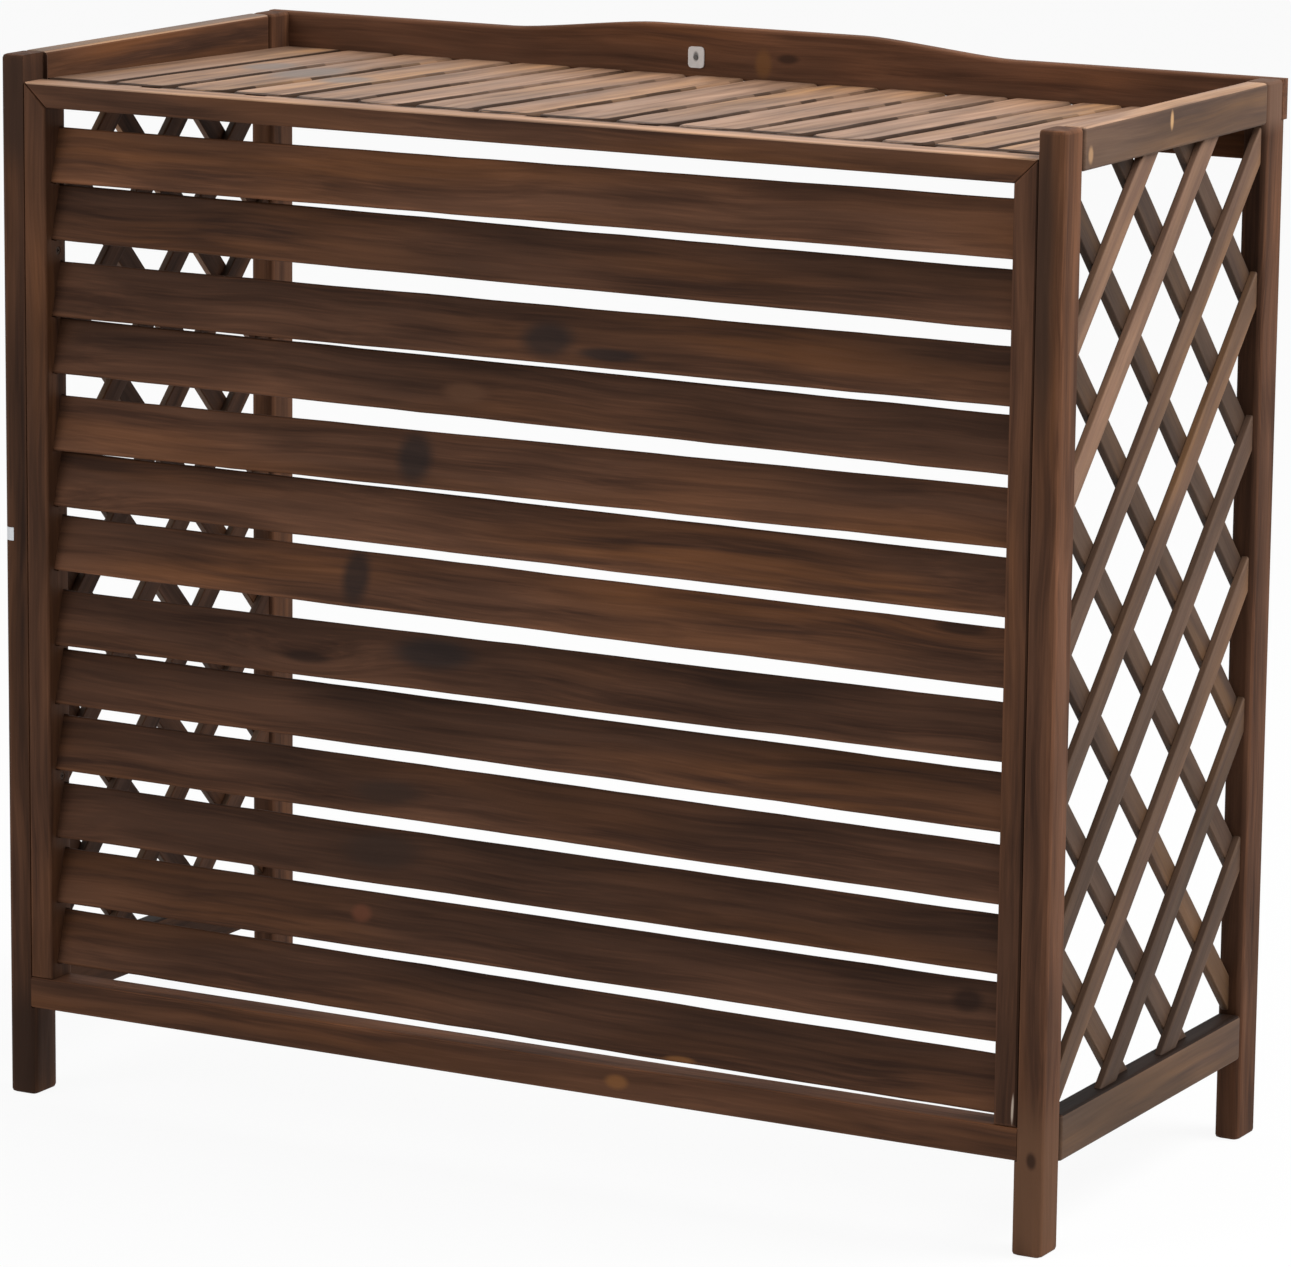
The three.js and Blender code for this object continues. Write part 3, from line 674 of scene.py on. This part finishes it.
STRIP_WIDTH = 0.022
STRIP_THICKNESS = 0.007
STRIP_ARRIS = 0.0016
STRIP_WAVER = 0.0004
STRIP_SPACING = 0.0827
STRIP_PRESS = 0.0005
STRIP_SEED, LAYER_SEEDS = 70, 40
OUTER_LIGHT_BELOW, OUTER_LIGHT_ABOVE = -0.42, 0.32
INNER_SHADE_BELOW, INNER_SHADE_ABOVE = -0.34, -0.60
INSIDE_SHADE = -0.35
# Each strip's own tone, from the lowest to the highest, in the outer layer and in the inner one.
OUTER_STRIP_TONES = (-0.09, -0.23, -0.08, -0.29, -0.17, -0.26, 0.33, -0.04)
INNER_STRIP_TONES = (-0.15, -0.11, -0.07, -0.07, -0.03, -0.09, -0.04, 0.04)


def strips(side, window_low, window_high):
    """Both layers of one lattice, filling the window between two corners."""
    middle = (window_low + window_high) / 2
    depth = 2 * STRIP_THICKNESS - STRIP_PRESS
    reach = (window_high.y - window_low.y + window_high.z - window_low.z) / 2
    count = math.floor((reach / math.sqrt(2) - STRIP_WIDTH) / STRIP_SPACING + 0.5)
    whole = None
    for layer, strip_tones in ((1, OUTER_STRIP_TONES), (-1, INNER_STRIP_TONES)):
        for index in range(-count, count):
            across = (index + 0.5) * STRIP_SPACING
            place = (
                Matrix.Translation(middle)
                @ Matrix.Translation((side * layer * (depth - STRIP_THICKNESS) / 2, 0, 0))
                @ Matrix.Rotation(side * layer * math.radians(45), 4, "X")
                @ Matrix.Translation((0, 0, across))
                @ Matrix.Rotation(math.radians(90), 4, "Z")
                @ Matrix.Rotation(math.radians(90), 4, "X")
            )
            strip = board(
                (2 * reach, STRIP_WIDTH, STRIP_THICKNESS), STRIP_ARRIS, place,
                STRIP_SEED + index + LAYER_SEEDS * layer,
                strip_tones[(index + count) % len(strip_tones)], STRIP_WAVER,
            )
            if whole is None:
                whole = strip
                continue
            lone = bpy.data.meshes.new("strip")
            strip.to_mesh(lone)
            strip.free()
            whole.from_mesh(lone)
            bpy.data.meshes.remove(lone)
    for corner, away in (
        (window_high, (0, 1, 0)), (window_high, (0, 0, 1)),
        (window_low, (0, -1, 0)), (window_low, (0, 0, -1)),
    ):
        cut(whole, corner, away, drop=True)
        open_edges = [edge for edge in whole.edges if edge.is_boundary]
        bmesh.ops.holes_fill(whole, edges=open_edges, sides=0)
    return whole


for side, sign in (("Left", -1), ("Right", 1)):
    low, high = (Vector(corner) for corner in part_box(f"{side}_lattice"))
    lattice = strips(sign, low, high)
    tones = lattice.faces.layers.float["tone"]
    lattice.normal_update()
    # Faces looking inside are painted dark as shade; the outer layer is painted paler upwards as
    # light, the inner layer darker upwards as shade.
    for face in lattice.faces:
        spot = face.calc_center_median()
        rise = (spot.z - low.z) / (high.z - low.z)
        if sign * face.normal.x < -FACING:
            face[tones] = INSIDE_SHADE
            face.material_index = 1
        elif sign * (spot.x - (low.x + high.x) / 2) > STRIP_PRESS:
            face[tones] += OUTER_LIGHT_BELOW + (OUTER_LIGHT_ABOVE - OUTER_LIGHT_BELOW) * rise
        else:
            face[tones] += INNER_SHADE_BELOW + (INNER_SHADE_ABOVE - INNER_SHADE_BELOW) * rise
    piece = placed(
        lattice, f"{side.lower()}_side_lattice", side_fir, "side_timber", f"{side}_lattice",
    )
    piece.data.materials.append(front_fir)

# Deck. Sixteen planed boards from front to back on a bearer, with sawn edges that wander a little, so
# that the gaps between them widen and narrow. Sun and rain have bleached the stain, and it is painted
# paler still, as light from above.

DECK_THICKNESS = 0.009
DECK_FALL = 0.008
DECK_ARRIS = 0.0026
DECK_CORNERS = (0.018, 0.005)
DECK_GAP_MORE = 0.0015
DECK_WAVER = 0.0024
DECK_END_GAPS = 0.0003
DECK_DEPTH = 0.4
SHADED_END = 0.012
DARK_PATCH_WIDTH, DARK_PATCH_LENGTH, DARK_PATCH_PER_SEED = 0.02, 0.05, 2.3
GAP_DIRT_AND_SHADE, GAP_DIRT_AND_SHADE_IN_FRONT, GAP_DIRT_AND_SHADE_IN_PATCHES, GAP_DIRT_AND_SHADE_LEAST = 0.45, 0.7, 0.7, 0.1
END_SHADE, END_SHADE_IN_PATCHES, END_SHADE_LEAST = 0.9, 1.2, 0.3
SIDE_WALLS_UNDER = 0.97
BEARER_SEED = 120
DECK_TONES = (
    -0.08, -0.04, -0.08, 0.0, -0.03, 0.04, 0.0, 0.06, 0.02, 0.0, 0.06, 0.02, 0.08, 0.04, 0.0, 0.06,
)


def soiled_and_shaded(made, seed):
    """Fills the gaps round a board with dirt and painted shade: its sides and arrises darken, most
    towards the front, where a strip across its front end is painted dark as well, as the shadow of
    the gap before the top rail."""
    marks = made.faces.layers.float["arris"]
    front = min(vert.co.y for vert in made.verts)
    cut(made, (0, front + SHADED_END, 0), (0, 1, 0))
    made.normal_update()
    for face in made.faces:
        spot = face.calc_center_median()
        patches = noise.noise(Vector((
            spot.x / DARK_PATCH_WIDTH, spot.y / DARK_PATCH_LENGTH, seed * DARK_PATCH_PER_SEED,
        )))
        if face.normal.z < SIDE_WALLS_UNDER:
            near_front = 0.5 - spot.y / DECK_DEPTH
            darkening = GAP_DIRT_AND_SHADE + GAP_DIRT_AND_SHADE_IN_FRONT * near_front + GAP_DIRT_AND_SHADE_IN_PATCHES * patches
            face[marks] = -min(max(darkening, GAP_DIRT_AND_SHADE_LEAST), 1.0)
        elif spot.y < front + SHADED_END:
            darkening = END_SHADE + END_SHADE_IN_PATCHES * patches
            face[marks] = -min(max(darkening, END_SHADE_LEAST), 1.0)


for order, tone in enumerate(DECK_TONES, start=1):
    node = f"Deck_board_{order:02d}"
    seed = FIRST_DECK_SEED + order - 1
    low, high = (Vector(corner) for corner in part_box(node))
    if order in (1, len(DECK_TONES)):
        plank = worked_from(node, "y", seed, tone)
    else:
        run = high.y - low.y
        slope = math.atan2(DECK_FALL, run)
        size = (
            run / math.cos(slope) - DECK_END_GAPS, high.x - low.x - DECK_GAP_MORE, DECK_THICKNESS,
        )
        place = (
            Matrix.Translation((low + high) / 2)
            @ Matrix.Rotation(-slope, 4, "X")
            @ Matrix.Rotation(math.radians(90), 4, "Z")
        )
        plank = board(size, DECK_ARRIS, place, seed, tone, DECK_WAVER, DECK_CORNERS)
    soiled_and_shaded(plank, seed)
    placed(plank, f"deck_board_{order:02d}", deck_fir, "deck_timber", node)

bearer = worked_from("Deck_front_bearer", "x", BEARER_SEED)
placed(bearer, "deck_front_bearer", front_fir, "front_timber", "Deck_front_bearer")

# Back board and apron. The back board is sawn to a low wave along its top and let into the rear
# posts. The apron under it carries the rear ends of the deck.

BACK_BOARD_TONE = 0.5
APRON_SEED = 132

back_board = worked_from("Gallery_back_board", "x", BACK_BOARD_SEED, BACK_BOARD_TONE)
placed(back_board, "back_board", front_fir, "front_timber", "Gallery_back_board")
apron = worked_from("Rear_apron", "x", APRON_SEED)
placed(apron, "rear_apron", front_fir, "front_timber", "Rear_apron")

# Corner clip, screws and the tag's pin. The clip is stamped from bright zinc plated steel. The
# screws are drawn steel with a brown phosphate coat, which hides them in the stained wood, and the
# pin is dulled to grey. All show the faint streaks of drawing.

DRAWN_LENGTH, DRAWN_WIDTH = 0.02, 0.0008
ROUGHNESS_SPREAD = 0.07


def coated_steel(name, dark, pale, roughness):
    """Steel under a thin coat, whose colour and gloss run in streaks. They are drawn coarser than
    they are, so that they show."""
    material = new_material(name)
    tree = material.node_tree
    place = put(tree, "ShaderNodeTexCoord", {}).outputs["Object"]
    drawn = put(
        tree, "ShaderNodeMapping",
        {"Vector": place, "Scale": (1 / DRAWN_WIDTH, 1 / DRAWN_LENGTH, 1 / DRAWN_WIDTH)},
    ).outputs["Vector"]
    streaks = put(tree, "ShaderNodeTexNoise", {"Vector": drawn, "Scale": 1.0}).outputs["Fac"]
    face = put(
        tree, "ShaderNodeMix",
        {"Factor": streaks, 6: colour(dark), 7: colour(pale)}, data_type="RGBA",
    ).outputs[2]
    gloss = put(
        tree, "ShaderNodeMapRange",
        {"Value": streaks, "To Min": roughness - ROUGHNESS_SPREAD,
         "To Max": roughness + ROUGHNESS_SPREAD},
    ).outputs["Result"]
    shader = put(
        tree, "ShaderNodeBsdfPrincipled", {"Base Color": face, "Roughness": gloss, "Metallic": 1.0},
    ).outputs["BSDF"]
    put(tree, "ShaderNodeOutputMaterial", {"Surface": shader})
    return material


screw_nodes = [f"Panel_screw_{order}" for order in range(1, 5)]
screw_nodes += [f"Back_board_screw_{order}" for order in range(1, 5)]
for steel, nodes in (
    (coated_steel("Zinc_plated_stamped_steel", "#b4b6b8", "#d5d7da", 0.35), ["Corner_clip"]),
    (coated_steel("Brown_phosphated_drawn_steel", "#2b201a", "#4a382d", 0.55), screw_nodes),
    (coated_steel("Dulled_drawn_steel", "#4d4b4a", "#6f6c6a", 0.6), ["Tag_pin"]),
):
    for node in nodes:
        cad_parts[node].data.materials.clear()
        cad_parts[node].data.materials.append(steel)

# Tag. A small white moulded plastic plate with rounded corners, held by one pin. It is plain, but for
# an upright grey oval round the pin.

TAG_OVAL_HALVES = (0.0026, 0.01, 0.0042)
TAG_OVAL_RISE = 0.0008
HAZE_SIZE = 0.004
TAG_SHADE, TAG_WHITE, TAG_GREY = "#cfcdcb", "#dddbd9", "#4e4a48"


def moulded_plastic(pin_place):
    """White polypropylene, slightly cloudy from the mould, and grey in an upright oval round the pin.
    """
    material = new_material("White_moulded_polypropylene")
    tree = material.node_tree
    place = put(tree, "ShaderNodeTexCoord", {}).outputs["Object"]
    haze = put(tree, "ShaderNodeTexNoise", {"Vector": place, "Scale": 1 / HAZE_SIZE}).outputs["Fac"]
    white = put(
        tree, "ShaderNodeMix",
        {"Factor": haze, 6: colour(TAG_SHADE), 7: colour(TAG_WHITE)}, data_type="RGBA",
    ).outputs[2]
    away = put(
        tree, "ShaderNodeVectorMath", {0: place, 1: pin_place}, operation="SUBTRACT",
    ).outputs["Vector"]
    shrunk = put(
        tree, "ShaderNodeVectorMath", {0: away, 1: TAG_OVAL_HALVES}, operation="DIVIDE",
    ).outputs["Vector"]
    reach = put(tree, "ShaderNodeVectorMath", {0: shrunk}, operation="LENGTH").outputs["Value"]
    stain = put(
        tree, "ShaderNodeMapRange",
        {"Value": reach, "From Min": 0.7, "From Max": 1.3, "To Min": 0.85, "To Max": 0.0},
        interpolation_type="SMOOTHSTEP",
    ).outputs["Result"]
    face = put(
        tree, "ShaderNodeMix", {"Factor": stain, 6: white, 7: colour(TAG_GREY)}, data_type="RGBA",
    ).outputs[2]
    shader = put(
        tree, "ShaderNodeBsdfPrincipled", {"Base Color": face, "Roughness": 0.45, "IOR": 1.49},
    ).outputs["BSDF"]
    put(tree, "ShaderNodeOutputMaterial", {"Surface": shader})
    return material


pin_low, pin_high = (Vector(corner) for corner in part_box("Tag_pin"))
tag_plastic = moulded_plastic((pin_low + pin_high) / 2 + Vector((0, 0, TAG_OVAL_RISE)))
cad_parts["White_tag"].data.materials.clear()
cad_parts["White_tag"].data.materials.append(tag_plastic)

# Camera. It stands to the right of the screen and a little above it, far off, as for a catalogue.

AZIMUTH = math.radians(28.32)
ELEVATION = math.radians(11.45)
ROLL = math.radians(0.60)
AIM = Vector((0.01852, -0.015, 0.41324))
DISTANCE = 5.27314
LENS, SENSOR_WIDTH = 178.36, 36

outward = Vector((
    math.sin(AZIMUTH) * math.cos(ELEVATION),
    -math.cos(AZIMUTH) * math.cos(ELEVATION),
    math.sin(ELEVATION),
))
level_right = Vector((0, 0, 1)).cross(outward).normalized()
level_up = outward.cross(level_right)
right = level_right * math.cos(ROLL) + level_up * math.sin(ROLL)
up = level_up * math.cos(ROLL) - level_right * math.sin(ROLL)
camera = bpy.data.objects.new("Camera", bpy.data.cameras.new("Camera"))
camera.data.lens = LENS
camera.data.sensor_width = SENSOR_WIDTH
camera.matrix_world = (
    Matrix.Translation(AIM + outward * DISTANCE)
    @ Matrix((right, up, outward)).transposed().to_4x4()
)
bpy.context.collection.objects.link(camera)
bpy.context.scene.camera = camera

# Studio. A white room: a broad lamp above and to the right, a weak one at the front left, and a
# pale floor that runs into a white backdrop and keeps the screen's shadow.


def seen_white(tree):
    """1 for the rays that see the room itself, or see it in or through a surface, and 0 for light."""
    path = put(tree, "ShaderNodeLightPath", {}).outputs
    either = put(
        tree, "ShaderNodeMath",
        {0: path["Is Camera Ray"], 1: path["Is Glossy Ray"]}, operation="MAXIMUM",
    ).outputs["Value"]
    return put(
        tree, "ShaderNodeMath", {0: either, 1: path["Is Transmission Ray"]}, operation="MAXIMUM",
    ).outputs["Value"]


LAMPS_AIM = Vector((0, 0, 0.45))


def lamp(name, spot, size, power):
    """A round soft lamp, turned towards the middle of the screen."""
    made = bpy.data.objects.new(name, bpy.data.lights.new(name, "AREA"))
    made.data.shape = "DISK"
    made.data.size = size
    made.data.energy = power
    facing = (LAMPS_AIM - Vector(spot)).to_track_quat("-Z", "Y").to_matrix().to_4x4()
    made.matrix_world = Matrix.Translation(spot) @ facing
    bpy.context.collection.objects.link(made)


lamp("Key_lamp", (2.6, 0.9, 3.4), 2.4, 150)
lamp("Front_lamp", (-1.8, -3.6, 2.2), 2.5, 50)

ROOM_LIGHT = 0.45
world = bpy.data.worlds.new("White_room")
bpy.context.scene.world = world
world.use_nodes = True
world.node_tree.nodes.clear()
room_strength = put(
    world.node_tree, "ShaderNodeMapRange",
    {"Value": seen_white(world.node_tree), "To Min": ROOM_LIGHT, "To Max": 1.0},
).outputs["Result"]
room = put(
    world.node_tree, "ShaderNodeBackground",
    {"Color": (1.0, 1.0, 1.0, 1.0), "Strength": room_strength},
).outputs["Background"]
put(world.node_tree, "ShaderNodeOutputWorld", {"Surface": room})

FLOOR_GLOW = 0.92
FLOOR_REACH = 12.0
paper = new_material("White_background_paper")
floor_light = put(
    paper.node_tree, "ShaderNodeEmission", {"Color": (1.0, 1.0, 1.0, 1.0), "Strength": 1.0},
).outputs["Emission"]
floor_paper = put(
    paper.node_tree, "ShaderNodeBsdfDiffuse", {"Color": colour("#f2f2f2")},
).outputs["BSDF"]
floor_share = put(
    paper.node_tree, "ShaderNodeMath",
    {0: seen_white(paper.node_tree), 1: FLOOR_GLOW}, operation="MULTIPLY",
).outputs["Value"]
floor_face = put(
    paper.node_tree, "ShaderNodeMixShader", {0: floor_share, 1: floor_paper, 2: floor_light},
).outputs["Shader"]
put(paper.node_tree, "ShaderNodeOutputMaterial", {"Surface": floor_face})
sheet = bmesh.new()
bmesh.ops.create_grid(sheet, x_segments=1, y_segments=1, size=FLOOR_REACH)
floor_mesh = bpy.data.meshes.new("Floor")
sheet.to_mesh(floor_mesh)
sheet.free()
floor_mesh.materials.append(paper)
floor = bpy.data.objects.new("Floor", floor_mesh)
bpy.context.collection.objects.link(floor)

bpy.context.scene.view_settings.view_transform = "Standard"
